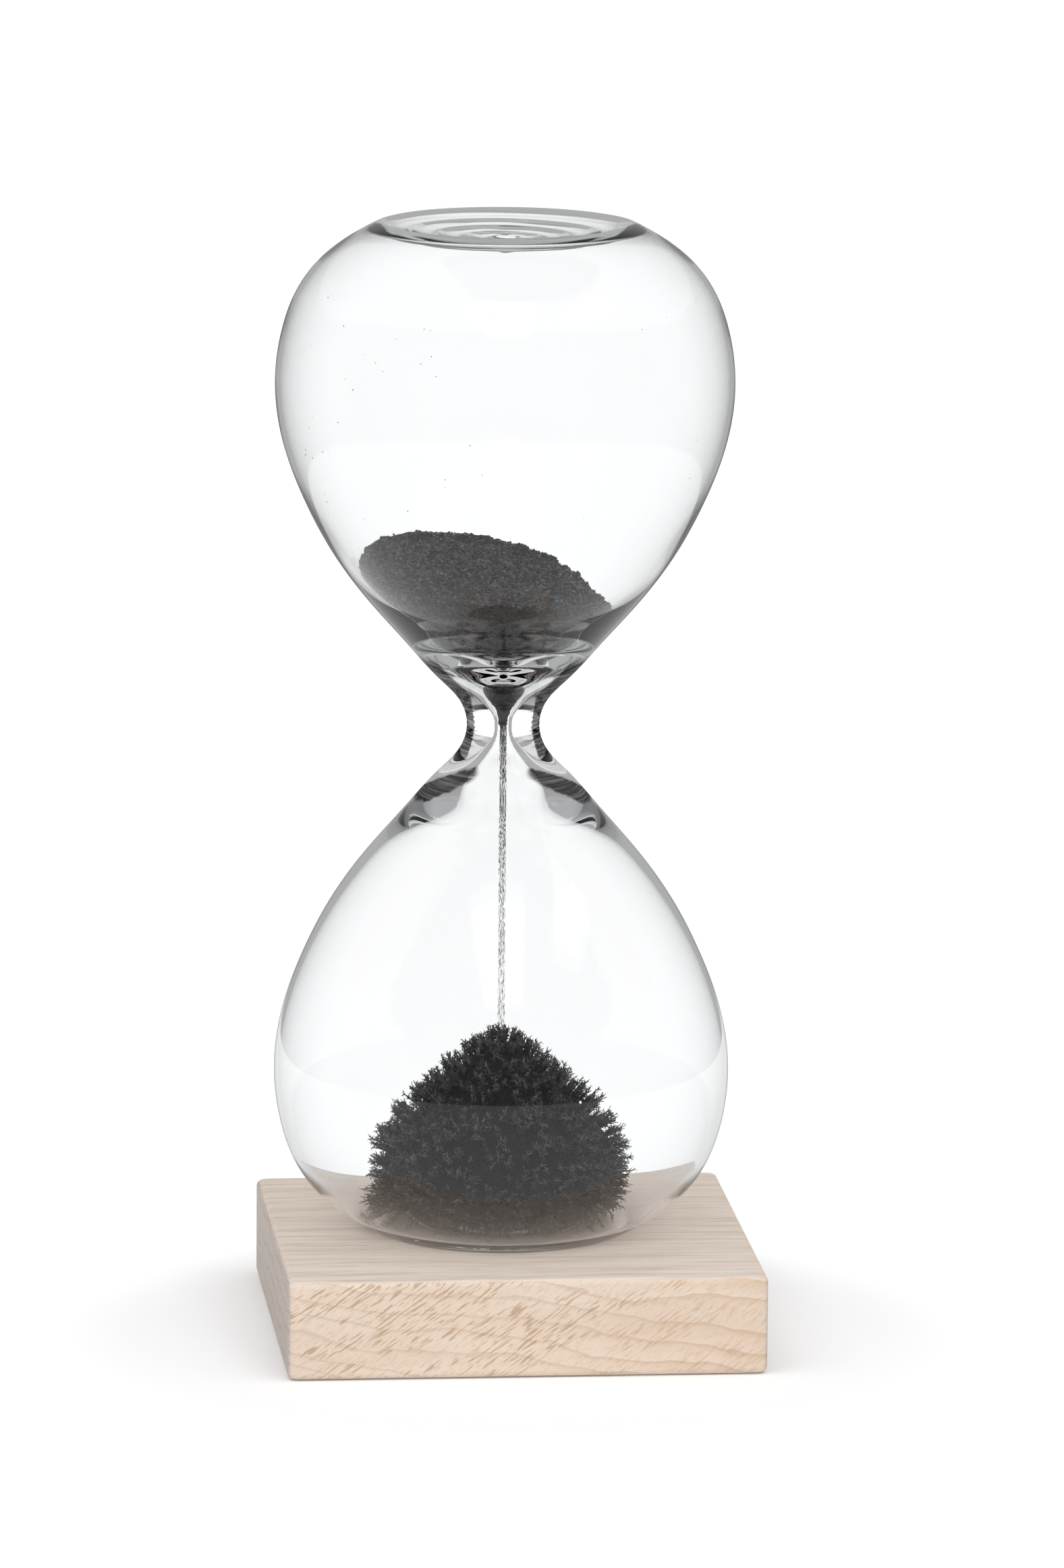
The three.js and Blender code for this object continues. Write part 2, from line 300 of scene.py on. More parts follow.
def glass_material(name, tint, painted_shade_at_neck=False):
    """Clear glass, with a painted dark rim where its outer wall turns away from view, and, when asked for,
    painted dark shade at the neck's sides and lower shoulders. Rays from lamps and from matt surfaces pass
    straight through it.
    """
    material, tree, output, units = new_material(name)
    waves = noise_node(tree, units, 0.11, 1.0)
    grazing = node(tree, "LayerWeight", {"Blend": 0.5}).outputs["Facing"]
    upright = node(tree, "SeparateXYZ", {0: node(tree, "NewGeometry").outputs["Normal"]}).outputs["Z"]
    on_wall = stepped(tree, math_node(tree, "ABSOLUTE", upright), 0.75, 0.5)
    outside = node(tree, "Attribute", attribute_name="outside").outputs["Fac"]
    outer_wall = math_node(tree, "MULTIPLY", on_wall, outside)
    # Painted shade: the outer wall's colour turns darker grey where it turns away from view, a painted dark
    # rim; rays from lamps pass there with a grey tint too.
    rim_shade = math_node(tree, "MULTIPLY", stepped(tree, grazing, 0.84, 1.0), outer_wall)
    colour = blend_colours(tree, rim_shade, tint, tuple(0.5 * t for t in tint))
    # Painted shade: near-black bands at the neck's sides and patches on its lower shoulders, varied in flat
    # rings.
    if painted_shade_at_neck:
        flattened = node(tree, "Mapping", {"Vector": units, "Scale": (0.1, 0.1, 5)}).outputs[0]
        rings = noise_node(tree, flattened, 1.0, 3.0)
        dark = blend_colours(tree, stepped(tree, rings, 0.4, 0.7), (0.12, 0.115, 0.12), (0.38, 0.37, 0.37))
        colour = blend_colours(tree, painted_neck_shade(tree, units, grazing), colour, dark)
    glass = node(tree, "BsdfGlass", {"Color": colour, "Roughness": 0.0, "IOR": 1.48,
                                     "Normal": bumped(tree, waves, 0.02 * MM, 0.3)})
    shade = blend_colours(tree, rim_shade, (0.98, 0.98, 0.98), (0.86, 0.86, 0.86))
    clear = node(tree, "BsdfTransparent", {"Color": shade})
    path = node(tree, "LightPath")
    passes = math_node(tree, "MAXIMUM", path.outputs["Is Shadow Ray"], path.outputs["Is Diffuse Ray"])
    mix = node(tree, "MixShader", {0: passes})
    tree.links.new(glass.outputs[0], mix.inputs[1])
    tree.links.new(clear.outputs[0], mix.inputs[2])
    tree.links.new(mix.outputs[0], output.inputs["Surface"])
    return material


def powder_material(name, dark, light, grain, painted_tip_light=False):
    """Iron powder: dull grey metal, speckled grain by grain.
    When asked for, an attribute paints light and shade on it: lightest at loose grains and at the needles'
    ends, darker towards the needles' roots and the pile's core."""
    material, tree, output, units = new_material(name)
    cells = node(tree, "TexVoronoi", {"Vector": units, "Scale": grain}, feature="F1")
    speckle = node(tree, "SeparateColor", {0: cells.outputs["Color"]}).outputs[0]
    patches = noise_node(tree, units, 0.35, 3.0)
    tone = math_node(tree, "MULTIPLY", stepped(tree, speckle, 0.25, 1.0),
                     stepped(tree, patches, 0.3, 0.8, 0.55, 1.0))
    if painted_tip_light:
        # Painted light and shade from the attribute: lighter at needle ends and loose grains, darker at roots
        # and core.
        tip = node(tree, "Attribute", attribute_name="tip").outputs["Fac"]
        tone = math_node(tree, "MULTIPLY", math_node(tree, "ADD", tone, 0.25), stepped(tree, tip, 0.15, 1.0))
    colour = blend_colours(tree, tone, dark, light)
    height = math_node(tree, "SUBTRACT", 1.0, cells.outputs["Distance"])
    shader = node(tree, "BsdfPrincipled", {
        "Base Color": colour, "Metallic": 0.35, "Roughness": stepped(tree, speckle, 0.0, 1.0, 0.75, 0.45),
        "Normal": bumped(tree, height, 0.12 * MM, 0.8),
    })
    tree.links.new(shader.outputs[0], output.inputs["Surface"])
    return material


def wood_material(name, warmth):
    """Oiled beech: pale, with brown ray flecks on the front, long fine pores and faint growth lines."""
    material, tree, output, units = new_material(name)
    normal = node(tree, "SeparateXYZ", {0: node(tree, "TexCoord").outputs["Normal"]})
    upward = stepped(tree, math_node(tree, "ABSOLUTE", normal.outputs["Z"]), 0.55, 0.9)
    endwise = stepped(tree, math_node(tree, "ABSOLUTE", normal.outputs["X"]), 0.55, 0.9)

    def stretched(size, rise=0.0, shift=(0, 0, 0)):
        """Coordinates with `size` features per unit along each axis, after the X axis rises by an angle."""
        return node(tree, "Mapping", {
            "Vector": units, "Location": shift, "Rotation": (0, -math.radians(rise), 0),
            "Scale": tuple(1 / part for part in size),
        }, vector_type="TEXTURE").outputs[0]

    fleck_cut = noise_node(tree, stretched((0.36, 1.4, 3.1), 36), 1.0, 2.0, 0.45, 0.3)
    fleck_zone = noise_node(tree, stretched((0.06, 0.2, 0.42), 18, (3, 1, 5)), 1.0, 2.0)
    flecks = math_node(tree, "MULTIPLY", stepped(tree, fleck_cut, 0.53, 0.62),
                       stepped(tree, fleck_zone, 0.42, 0.56, 0.1, 1.0))
    fine_cut = noise_node(tree, stretched((1.0, 3, 6), 36, (1, 2, 3)), 1.0, 2.0)
    fine = stepped(tree, fine_cut, 0.5, 0.72)
    pore_cut = noise_node(tree, stretched((0.16, 3.2, 3.2), 0, (7, 0, 2)), 1.0, 3.0, 0.6)
    streak_cut = noise_node(tree, stretched((0.05, 0.75, 0.75), 0, (4, 6, 1)), 1.0, 4.0, 0.65)
    pores = math_node(tree, "ADD", math_node(tree, "MULTIPLY", stepped(tree, pore_cut, 0.5, 0.75), 0.5),
                      math_node(tree, "MULTIPLY", stepped(tree, streak_cut, 0.44, 0.66), 0.6))
    broad = noise_node(tree, stretched((0.035, 0.3, 0.3), 0, (2, 4, 0)), 1.0, 3.0, 0.55, 0.3)
    place = node(tree, "SeparateXYZ", {0: units})
    figure = node(tree, "TexWave", {
        "Vector": stretched((0.035, 0.035, 0.11), -8, (6, 2, 1)), "Scale": 1.0, "Distortion": 9.0,
        "Detail": 3.0, "Detail Scale": 1.3, "Detail Roughness": 0.55,
    }, wave_type="BANDS", bands_direction="Z", wave_profile="SAW").outputs["Fac"]
    lines = stepped(tree, figure, 0.72, 0.98)
    curl_zone = stepped(tree, math_node(tree, "SUBTRACT", place.outputs["X"], place.outputs["Z"]), -6.0, 20.0)
    curls = math_node(tree, "MULTIPLY", stepped(tree, figure, 0.2, 1.0), curl_zone)
    fleck_fade = math_node(tree, "SUBTRACT", 1.0, math_node(tree, "MULTIPLY", curl_zone, 0.6))
    flecks = math_node(tree, "MULTIPLY", flecks, fleck_fade)

    side = blend_colours(tree, broad, (0.72, 0.575, 0.455), (0.84, 0.715, 0.605))
    side = blend_colours(tree, math_node(tree, "MULTIPLY", curl_zone, 0.15), side, (0.80, 0.63, 0.49))
    side = blend_colours(tree, math_node(tree, "MULTIPLY", curls, 0.32), side, (0.64, 0.43, 0.28))
    side = blend_colours(tree, math_node(tree, "MULTIPLY", lines, 0.3), side, (0.52, 0.35, 0.22))
    side = blend_colours(tree, math_node(tree, "MULTIPLY", fine, 0.3), side, (0.5, 0.34, 0.21))
    side = blend_colours(tree, math_node(tree, "MULTIPLY", flecks, 0.62), side, (0.43, 0.25, 0.13))
    top = blend_colours(tree, broad, (0.72, 0.605, 0.515), (0.84, 0.74, 0.655))
    top = blend_colours(tree, math_node(tree, "MULTIPLY", pores, 0.58), top, (0.42, 0.33, 0.265))
    end = blend_colours(tree, fine, (0.61, 0.53, 0.48), (0.42, 0.35, 0.3))
    end = blend_colours(tree, math_node(tree, "MULTIPLY", lines, 0.4), end, (0.4, 0.32, 0.27))
    colour = blend_colours(tree, upward, blend_colours(tree, endwise, side, end), top)
    colour = blend_colours(tree, 1.0, colour, warmth, "MULTIPLY")
    dents = math_node(tree, "ADD", math_node(tree, "MULTIPLY", pores, -0.5),
                      math_node(tree, "MULTIPLY", flecks, -0.35))
    shader = node(tree, "BsdfPrincipled", {
        "Base Color": colour, "Roughness": stepped(tree, broad, 0.2, 0.8, 0.5, 0.64),
        "Specular IOR Level": 0.35, "Normal": bumped(tree, dents, 0.06 * MM, 0.6),
    })
    tree.links.new(shader.outputs[0], output.inputs["Surface"])
    return material


def plating_material(name):
    """Nickel plating with faint turning marks and smudges."""
    material, tree, output, units = new_material(name)
    smudge = noise_node(tree, units, 0.4, 4.0)
    turned = node(tree, "Mapping", {"Vector": units, "Scale": (0.4, 8, 8)}).outputs[0]
    marks = noise_node(tree, turned, 1.0, 2.0)
    shader = node(tree, "BsdfPrincipled", {
        "Base Color": blend_colours(tree, smudge, (0.5, 0.49, 0.47), (0.66, 0.65, 0.62)), "Metallic": 1.0,
        "Roughness": stepped(tree, smudge, 0.3, 0.7, 0.22, 0.4),
        "Normal": bumped(tree, marks, 0.02 * MM, 0.4),
    })
    tree.links.new(shader.outputs[0], output.inputs["Surface"])
    return material


clear_glass = glass_material("clear_glass", (0.995, 0.998, 1.0), True)
seal_glass = glass_material("seal_glass", (0.98, 0.99, 0.99))
BLACK_IRON = (0.006, 0.006, 0.0065)
iron_powder = powder_material("iron_powder", BLACK_IRON, (0.18, 0.18, 0.188), 2.2, True)
falling_powder = powder_material("falling_powder", (0.03, 0.03, 0.033), (0.1, 0.1, 0.105), 3.0)
magnetised_powder = powder_material("magnetised_powder", BLACK_IRON, (0.17, 0.17, 0.178), 2.0, True)
beech = wood_material("beech", (1.0, 1.0, 1.0))
beech_plug = wood_material("beech_plug", (0.93, 0.9, 0.87))
plating = plating_material("magnet_plating")


# ---------- blown glass vessel ----------
GLASS_SEGMENTS = 144
SEAL_SEGMENTS = 64


def upper(curve):
    return np.stack([curve[:, 1], curve[:, 0] * UPPER_STRETCH], -1)


def lower(curve):
    return np.stack([curve[:, 1], -curve[:, 0]], -1)


def hand_made(angle, radius, height):
    """Small unevenness of blown glass: slow waves round the bulbs, rings at the neck, ripples in the ends."""
    slow = 0.035 * np.sin(2 * angle + 0.05 * height) + 0.025 * np.sin(3 * angle + 0.11 * height + 1)
    drawn = 0.022 * np.sin(8.5 * height + 0.6 * np.sin(angle)) * np.exp(-(height / 2.6) ** 2)
    far = np.clip((np.abs(height) - 62) / 3, 0, 1)
    inside = np.clip((17.5 - radius) / 4, 0, 1) * np.clip((radius - 1.7) / 1.5, 0, 1) * far
    ripple = np.sin(1.75 * radius + 0.9 * np.sin(angle + 0.8) + 0.4 * np.sin(2 * angle)) * inside
    return radius + np.clip(radius / 20, 0, 1) * slow + drawn * (radius > 3), height + 0.2 * ripple


def build_vessel():
    """The vessel as one skin: its outside from end to end, the filling hole, and back along its inside."""

    def up_to_hole(curve):
        beyond_wall = curve[:, 0] > 60
        cut = np.argmax((curve[:, 1] < FILL_HOLE_RADIUS) * beyond_wall)
        level = np.interp(-FILL_HOLE_RADIUS, -curve[cut - 3:, 1], curve[cut - 3:, 0]) * UPPER_STRETCH
        return cut, level

    cut_out, level_out = up_to_hole(outer_curve)
    cut_in, level_in = up_to_hole(upper_inner_curve)
    outside = np.concatenate([lower(outer_curve)[::-1], upper(outer_curve)[1:cut_out]])
    profile = np.concatenate([
        outside, [[FILL_HOLE_RADIUS, level_out], [FILL_HOLE_RADIUS, level_in]],
        upper(upper_inner_curve)[:cut_in][::-1], lower(lower_inner_curve)[1:],
    ])
    points, faces = revolved(profile, GLASS_SEGMENTS, hand_made)
    vessel = add_piece("glass_vessel_blown", at_neck(points), faces, clear_glass, "glass",
                       "glass_vessel")
    is_outside = (np.arange(len(profile)) < len(outside)).astype(np.float32)
    marks = np.concatenate([[1, 0], np.tile(is_outside[1:-1], GLASS_SEGMENTS)]).astype(np.float32)
    vessel.data.attributes.new("outside", "FLOAT", "POINT").data.foreach_set("value", marks)
    return level_out, level_in


def build_seal(high, low):
    """The drop of glass that closes the filling hole, with a drawn tip on each side."""
    r = FILL_HOLE_RADIUS - 0.03
    profile = np.array([
        [0, low - 0.75], [0.5, low - 0.62], [1.0, low - 0.3], [r, low + 0.05], [r, (low + high) / 2],
        [r, high - 0.02], [1.35, high + 0.16], [0.9, high + 0.3], [0.45, high + 0.2], [0.2, high + 0.42],
        [0, high + 0.45],
    ])

    def melted(angle, radius, height):
        return radius, height + 0.06 * np.sin(angle + 4 * radius)

    points, faces = revolved(profile, SEAL_SEGMENTS, melted)
    add_piece("fill_seal_drop", at_neck(points), faces, seal_glass, "glass", "fill_seal")


hole_high, hole_low = build_vessel()
build_seal(hole_high, hole_low)


# ---------- shapes of grains and needles ----------
def prisms(starts, ends, start_radii, end_radii, sides=3):
    """Points and faces of many closed tapered prisms, one from each start to its end."""
    along = ends - starts
    along /= np.linalg.norm(along, axis=1, keepdims=True) + 1e-12
    helper = np.where(np.abs(along[:, 2:3]) > 0.8, [[1.0, 0, 0]], [[0, 0, 1.0]])
    u = np.cross(along, helper)
    u /= np.linalg.norm(u, axis=1, keepdims=True)
    v = np.cross(along, u)
    turn = 2 * np.pi * np.arange(sides) / sides
    ring = u[:, None] * np.cos(turn)[:, None] + v[:, None] * np.sin(turn)[:, None]
    points = np.concatenate([
        starts[:, None] + ring * start_radii[:, None, None], ends[:, None] + ring * end_radii[:, None, None],
    ], 1)
    first = 2 * sides * np.arange(len(starts))[:, None]
    faces = []
    for k in range(sides):
        m = (k + 1) % sides
        faces += (first + np.array([k, m, sides + m, sides + k])).tolist()
    faces += (first + np.arange(sides)[::-1]).tolist()
    faces += (first + sides + np.arange(sides)).tolist()
    return points.reshape(-1, 3), faces


OCTAHEDRON = np.array([[1, 0, 0], [-1, 0, 0], [0, 1, 0], [0, -1, 0], [0, 0, 1], [0, 0, -1]], float)
OCTAHEDRON_FACES = np.array([
    [0, 2, 4], [2, 1, 4], [1, 3, 4], [3, 0, 4], [2, 0, 5], [1, 2, 5], [3, 1, 5], [0, 3, 5],
])


def grains(centres, sizes):
    """Points and faces of many rough grains."""
    count = len(centres)
    turns = np.linalg.qr(rng.normal(size=(count, 3, 3)))[0]
    uneven = rng.uniform(0.65, 1.35, (count, 6, 1))
    points = centres[:, None] + np.einsum("nij,kj->nki", turns, OCTAHEDRON) * uneven * sizes[:, None, None]
    faces = (OCTAHEDRON_FACES[None] + 6 * np.arange(count)[:, None, None]).reshape(-1, 3)
    flipped = np.linalg.det(turns) < 0
    faces = np.where(np.repeat(flipped, 8)[:, None], faces[:, ::-1], faces)
    return points.reshape(-1, 3), faces.tolist()


def joined(*parts):
    """Points and faces of several meshes as one."""
    points, faces, total = [], [], 0
    for p, f in parts:
        points.append(p)
        faces += [[i + total for i in face] for face in f]
        total += len(p)
    return np.concatenate(points), faces


# ---------- powder left in the upper bulb ----------
HEAP_SEGMENTS = 420
HEAP_WALL_ROWS = 64
HEAP_TOP_ROWS = 66
HEAP_GRAINS = 11000
HEAP_TIP = 0.5
GLASS_GAP = 0.1


def heap_rim(angle):
    """Level of the heap's rim, which is tilted, bent and slightly ragged."""
    tilt = HEAP_TILT[0] * np.cos(angle) + HEAP_TILT[1] * np.sin(angle)
    bend = HEAP_BEND[0] * np.cos(2 * angle) + HEAP_BEND[1] * np.sin(2 * angle)
    ragged = 0.1 * np.sin(19 * angle + 2 * np.sin(5 * angle)) + 0.07 * np.sin(47 * angle + 1)
    return HEAP_MEAN_LEVEL + tilt + bend + ragged


def heap_surface(angle, outwards):
    """Points of the heap's open surface: 1 is the rim at that angle and 0 the bottom of the crater."""
    level = heap_rim(angle)
    radius = inner_radius(level) - GLASS_GAP - 0.1
    x = CRATER_X * (1 - outwards) + radius * np.cos(angle) * outwards
    y = radius * np.sin(angle) * outwards
    return np.stack([x, y, CRATER_LEVEL + (level - CRATER_LEVEL) * outwards ** 1.25], -1)


def build_heap():
    """One rough skin against the glass and over the crater, with loose grains on the open part."""
    angle = 2 * np.pi * np.arange(HEAP_SEGMENTS)[:, None] / HEAP_SEGMENTS
    up = np.linspace(0, 1, HEAP_WALL_ROWS)[None]
    level = HEAP_TIP + (heap_rim(angle) - HEAP_TIP) * up ** 1.15
    radius = inner_radius(level) - GLASS_GAP
    against_glass = np.stack([radius * np.cos(angle), radius * np.sin(angle), level], -1)
    inwards = np.linspace(0, 1, HEAP_TOP_ROWS + 2)[None, 1:-1]
    top = heap_surface(angle, 1 - inwards)
    skin = np.concatenate([against_glass, top], 1)
    flat = skin.reshape(-1, 3)
    rough = 0.3 * noise_at(flat, 0.7, 1) + 0.26 * noise_at(flat, 2.1, 2)
    on_top = np.zeros(skin.shape[:2], bool)
    on_top[:, HEAP_WALL_ROWS:] = True
    on_top = on_top.reshape(-1)
    from_crater = flat - np.array([CRATER_X, 0, 0])
    way = np.arctan2(from_crater[:, 1], from_crater[:, 0])
    reach = np.hypot(from_crater[:, 0], from_crater[:, 1])
    streak_points = np.stack([np.cos(way) * 14, np.sin(way) * 14, reach * 0.18], -1)
    streaks = noise_at(streak_points, 1.0, 3) * np.clip(reach / 5, 0, 1)
    flat[:, 2] += np.where(on_top, rough + 0.13 * streaks, 0)
    shrink = np.where(on_top, 0, 0.1 + rough * 0.5)
    size = np.hypot(flat[:, 0], flat[:, 1])
    flat[:, :2] *= (1 - np.clip(shrink, 0, 0.3) / np.maximum(size, 0.5))[:, None]
    poles = np.array([[0, 0, HEAP_TIP - 0.15], [CRATER_X, 0, CRATER_LEVEL]])
    body = np.concatenate([poles, flat]), wrap_faces(HEAP_SEGMENTS, skin.shape[1])

    count = HEAP_GRAINS
    angles = rng.uniform(0, 2 * np.pi, count)
    outwards = np.sqrt(rng.uniform(0, 1, count))
    at_rim = rng.uniform(0, 1, count) < 0.25
    outwards[at_rim] = rng.uniform(0.95, 0.985, at_rim.sum())
    loose = heap_surface(angles, outwards)
    clumps = np.clip(noise_at(loose, 0.9, 5) + 0.1, 0, 1)
    loose[:, 2] += rng.uniform(-0.05, 0.15, count) + 0.45 * clumps * at_rim
    cover = grains(loose, rng.uniform(0.12, 0.3, count))

    points, faces = joined(body, cover)
    points[:, 2] *= UPPER_STRETCH
    heap = add_piece("powder_heap", at_neck(points), faces, iron_powder, "upper_powder",
                     "powder_upper", False)
    # Painted shade: the skin against the glass is darker than the open top; the loose grains differ in tone
    # at random.
    skin_painted_shade = np.where(np.concatenate([[False, True], on_top]), 0.5, 0.35)
    grain_tone = np.repeat(rng.uniform(0.15, 1.0, count), 6)
    tip = np.concatenate([skin_painted_shade, grain_tone]).astype(np.float32)
    heap.data.attributes.new("tip", "FLOAT", "POINT").data.foreach_set("value", tip)


build_heap()


# ---------- thread of falling powder ----------
STREAKS = 3600
CROWDING = 3.2


def build_stream():
    """Short streaks of falling grains, dense at the neck and ever sparser as they speed up."""
    low = PILE_FLOOR + PILE_HEIGHT + 0.2
    high = HEAP_TIP + 0.3
    count = STREAKS
    fallen = CROWDING * ((1 + (high - low) / CROWDING) ** rng.uniform(0, 1, count) - 1)
    reach = 1.2 * STREAM_RADIUS * rng.uniform(0, 1, count) ** 0.42
    turn = rng.uniform(0, 2 * np.pi, count)
    length = rng.uniform(0.15, 0.4, count) * (1 + 0.02 * fallen)
    x = reach * np.cos(turn)
    y = reach * np.sin(turn)
    starts = np.stack([x, y, np.maximum(high - fallen - length / 2, low)], -1)
    ends = np.stack([x, y, np.minimum(high - fallen + length / 2, high)], -1)
    width = rng.uniform(0.012, 0.021, count)
    points, faces = prisms(starts, ends, width, width * 0.7)
    add_piece("powder_thread", at_neck(points), faces, falling_powder, "upper_powder",
              "powder_stream", False)


build_stream()


# ---------- powder drawn up by the magnet ----------
MAGNET_DEPTH = -(NECK.z - (magnet_low.z + magnet_high.z) / 2) / MM
SPRIGS = 1500
TUFT_SPRIGS = 70
PILE_SEGMENTS = 160
STEM_PARTS = 5
TWIGS = 3
FORKS = 2


def field_way(points):
    """Unit direction of the magnet's field, taken as a dipole in the middle of the magnet."""
    x, y = points[:, 0], points[:, 1]
    h = points[:, 2] - MAGNET_DEPTH
    way = np.stack([3 * h * x, 3 * h * y, 2 * h * h - x * x - y * y], -1)
    return way / np.linalg.norm(way, axis=1, keepdims=True)


def pile_outline():
    """Smooth outline of the pile, as [radius, height above the floor] rows from the base to the apex."""
    points = np.array([[0, 0]] + PILE_SIDE + [[0, PILE_HEIGHT], [-2, 22.4]], float)
    knots = np.concatenate([[0], np.cumsum(np.linalg.norm(np.diff(points, axis=0), axis=1))])
    return natural_spline(knots, points, np.linspace(0, knots[-2], 120))


def on_outline(outline, share):
    """Points of the outline and its outward normals at shares of its length."""
    along = np.concatenate([[0], np.cumsum(np.linalg.norm(np.diff(outline, axis=0), axis=1))])
    at = share * along[-1]
    r = np.interp(at, along, outline[:, 0])
    z = np.interp(at, along, outline[:, 1])
    dr = np.interp(at + 0.05, along, outline[:, 0]) - np.interp(at - 0.05, along, outline[:, 0])
    dz = np.interp(at + 0.05, along, outline[:, 1]) - np.interp(at - 0.05, along, outline[:, 1])
    size = np.hypot(dr, dz) + 1e-9
    return r, z, dz / size, -dr / size


def unit(vectors):
    return vectors / (np.linalg.norm(vectors, axis=1, keepdims=True) + 1e-12)


def above_glass(points):
    """The points, lifted where needed so that they stay inside the end of the lower bulb."""
    lifted = points.copy()
    floor = -inner_end(np.hypot(points[:, 0], points[:, 1])) + 0.2
    lifted[:, 2] = np.maximum(lifted[:, 2], floor)
    return lifted


def sprig_roots(outline):
    """Roots, outward directions and lengths of the sprigs, all over the pile, and which of them belong to
    the tuft that lies at its left."""
    count = SPRIGS
    share = rng.uniform(0.2, 1.0, count * 3)
    r, z, normal_r, normal_z = on_outline(outline, share)
    keep = np.flatnonzero(rng.uniform(0, 17, count * 3) < r + 0.8)[:count]
    r, z, normal_r, normal_z = (part[keep] for part in (r, z, normal_r, normal_z))
    count = len(r)
    angle = rng.uniform(0, 2 * np.pi, count)
    depth = rng.uniform(1.0, 1.6, count)
    radius = np.maximum(r - depth * normal_r, 0)
    radius *= np.interp(z, [0, 5, 12, 18], [1, 1, 0.92, 0.88])
    roots = np.stack([radius * np.cos(angle), radius * np.sin(angle), PILE_FLOOR + z - depth * normal_z], -1)
    outward = np.stack([normal_r * np.cos(angle), normal_r * np.sin(angle), normal_z], -1)
    clumps = np.clip(0.5 + 0.9 * noise_at(roots, 0.42, 6), 0, 1)
    length = rng.uniform(1.2, 1.9, count) + 1.6 * clumps * rng.uniform(0.3, 1, count)
    length *= np.interp(z, [0, 3, 18, PILE_HEIGHT], [1.2, 1.0, 0.85, 0.7])

    tuft = TUFT_SPRIGS
    tuft_angle = rng.normal(math.radians(184), 0.16, tuft)
    tuft_radius = rng.uniform(12.5, 15.5, tuft)
    tuft_roots = np.stack([tuft_radius * np.cos(tuft_angle), tuft_radius * np.sin(tuft_angle),
                           PILE_FLOOR + rng.uniform(-1.0, 0.4, tuft)], -1)
    tuft_way = np.stack([np.cos(tuft_angle), np.sin(tuft_angle), np.full(tuft, -0.1)], -1)
    tuft_length = rng.uniform(2.4, 4.2, tuft)
    return (np.concatenate([roots, tuft_roots]), np.concatenate([outward, tuft_way]),
            np.concatenate([length, tuft_length]), np.arange(count + tuft) >= count)


def grow_sprigs(outline):
    """Mossy sprigs along the magnet's field. Each has a stem of five parts, and twigs that fork once.
    Every entry holds starts, ends, start and end widths, and how near each end is to the sprig's tip."""
    roots, outward, length, flat = sprig_roots(outline)
    count = len(roots)
    lean = rng.normal(0, 0.2, (count, 3))
    pull = np.where(flat, 0.0, 1.0)[:, None]
    grown = []
    here = roots
    for k in range(STEM_PARTS):
        way = unit(pull * field_way(here) + outward + lean + rng.normal(0, 0.14, (count, 3)))
        step = way * (length / STEM_PARTS)[:, None]
        after = above_glass(here + step)
        wide = np.interp([k, k + 1], [0, STEM_PARTS], [0.2, 0.055])
        uneven = rng.uniform(0.8, 1.3, count)
        low_tip, high_tip = k / STEM_PARTS, (k + 1) / STEM_PARTS
        grown.append((here, after, wide[0] * uneven, wide[1] * uneven, np.full(count, low_tip),
                      np.full(count, high_tip)))
        twigs = 0 if k == 0 else TWIGS
        for _ in range(twigs):
            twig_root = here + step * rng.uniform(0.1, 1.0, (count, 1))
            twig_way = unit(way + rng.normal(0, 0.62, (count, 3)))
            twig_end = above_glass(twig_root + twig_way * rng.uniform(0.4, 0.95, (count, 1)))
            thin = rng.uniform(0.055, 0.09, count)
            grown.append((twig_root, twig_end, thin, 0.6 * thin, np.full(count, low_tip + 0.1),
                          np.full(count, high_tip + 0.1)))
            for _ in range(FORKS):
                fork_root = twig_root + (twig_end - twig_root) * rng.uniform(0.3, 0.9, (count, 1))
                fork_way = unit(twig_way + rng.normal(0, 0.7, (count, 3)))
                fork_end = above_glass(fork_root + fork_way * rng.uniform(0.22, 0.5, (count, 1)))
                grown.append((fork_root, fork_end, 0.7 * thin, 0.35 * thin, np.full(count, low_tip + 0.2),
                              np.full(count, high_tip + 0.3)))
        here = after
    return grown


def build_pile():
    """A lumpy core a little inside the outline, covered with sprigs of needles."""
    outline = pile_outline()
    core = outline.copy()
    core[:, 0] = np.maximum(core[:, 0] - 1.1, 0) * np.interp(core[:, 1], [0, 5, 12, 18], [1, 1, 0.92, 0.88])
    core[:, 1] = np.where(core[:, 1] > 1, core[:, 1] - 1.0, core[:, 1] + 0.15)
    core[-1, 0] = 0
    core[:, 1] += PILE_FLOOR

    def lumps(angle, radius, height):
        swell = 1 + 0.03 * np.sin(5 * angle + 0.2 * height) + 0.025 * np.sin(11 * angle + 0.5 * height)
        return radius * swell, height

    body = revolved(core, PILE_SEGMENTS, lumps)

    sprigs = grow_sprigs(outline)
    starts, ends, wide_start, wide_end, tip_start, tip_end = (np.concatenate(part) for part in zip(*sprigs))
    needles = prisms(starts, ends, wide_start, wide_end)
    points, faces = joined(body, needles)
    pile = add_piece("powder_spikes", at_neck(points), faces, magnetised_powder, "lower_powder",
                     "powder_lower", False)
    # Painted light and shade: each needle is lighter towards its end, and the core is darkest.
    tip = np.repeat(np.stack([tip_start, tip_end], -1), 3, axis=1).ravel()
    height = needles[0][:, 2] - PILE_FLOOR
    # Darker towards the bottom of the pile and lighter higher up.
    tip *= np.interp(height, [0, 6, 13], [0.6, 0.95, 1.25])
    tip = np.concatenate([np.zeros(len(body[0])), tip]).astype(np.float32)
    pile.data.attributes.new("tip", "FLOAT", "POINT").data.foreach_set("value", tip)


build_pile()


# ---------- stray specks on the inside of the glass ----------
SPECKS = 70


